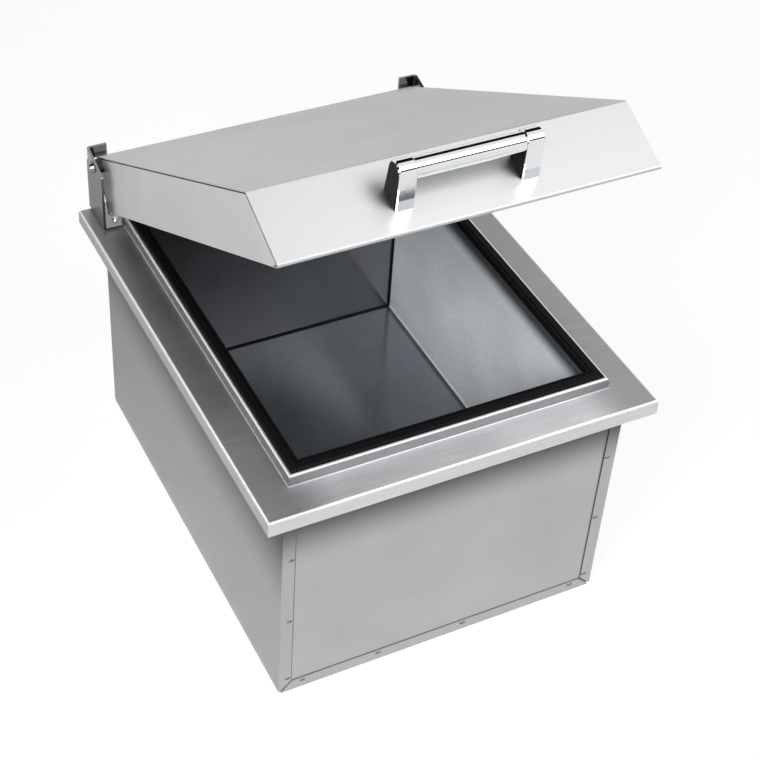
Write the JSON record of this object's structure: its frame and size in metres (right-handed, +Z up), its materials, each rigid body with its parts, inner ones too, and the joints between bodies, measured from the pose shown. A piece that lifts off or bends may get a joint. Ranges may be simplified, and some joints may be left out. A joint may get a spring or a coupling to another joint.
{
  "type": "drop-in cooler",
  "caption": "Insulated stainless steel ice chest that hangs in a counter cut-out by its rim, with a sealed opening, a hinged lid with a bar handle and a floor drain.",
  "frame": {"origin": "under the middle of the rim, on the plane of the body's bottom", "axes": "+X to the right along the front, +Y to the rear (the hinge side), +Z up"},
  "size_m": [0.38, 0.462, 0.537],
  "materials": {
    "rim_steel": "brushed along each side",
    "body_steel": "fine mill finish",
    "liner_steel": "satin, slightly mirror-like",
    "lid_steel": "fine brushed",
    "bracket_steel": "brushed",
    "handle_chrome": "polished",
    "fastener_steel": "bright",
    "gasket_rubber": "smooth black",
    "stopper_rubber": "matt black",
    "drain_steel": "turned",
    "bush_nylon": "moulded, black",
    "insulation_foam": "rigid foam"
  },
  "bodies": {
    "base": {"rim_frame": "rim_steel", "body_wrap": "body_steel", "front_panel": "body_steel", "rear_panel": "body_steel", "liner_wrap": "liner_steel", "liner_front_wall": "liner_steel", "liner_rear_wall": "liner_steel", "hinge_bracket_left": "bracket_steel", "hinge_bracket_right": "bracket_steel", "bracket_bolts": "fastener_steel", "bracket_nuts": "fastener_steel", "gasket": "gasket_rubber", "drain_socket": "drain_steel", "foam_base": "insulation_foam", "foam_front": "insulation_foam", "foam_left": "insulation_foam", "foam_rear": "insulation_foam", "foam_right": "insulation_foam"},
    "lid": {"lid_skin": "lid_steel", "lid_cheek_left": "lid_steel", "lid_cheek_right": "lid_steel", "lid_pan": "lid_steel", "handle_bar": "handle_chrome", "handle_post_left": "handle_chrome", "handle_post_right": "handle_chrome", "handle_screws": "fastener_steel", "pivot_bolt_left": "fastener_steel", "pivot_bolt_right": "fastener_steel", "pivot_nut_left": "fastener_steel", "pivot_nut_right": "fastener_steel", "pivot_plate_left": "fastener_steel", "pivot_plate_right": "fastener_steel", "pivot_bush_left": "bush_nylon", "pivot_bush_right": "bush_nylon", "lid_foam": "insulation_foam"},
    "stopper": {"drain_plug": "stopper_rubber"}
  },
  "joints": [
    {"name": "lid_hinge", "type": "hinge", "parent": "base", "child": "lid", "pos_m": [0, 0.212, 0.3133], "axis": [-1, 0, 0], "range_deg": [-29, 88]},
    {"name": "stopper_lift", "type": "slide", "parent": "base", "child": "stopper", "axis": [0, 0, 1], "range_m": [0, 0.04]}
  ]
}
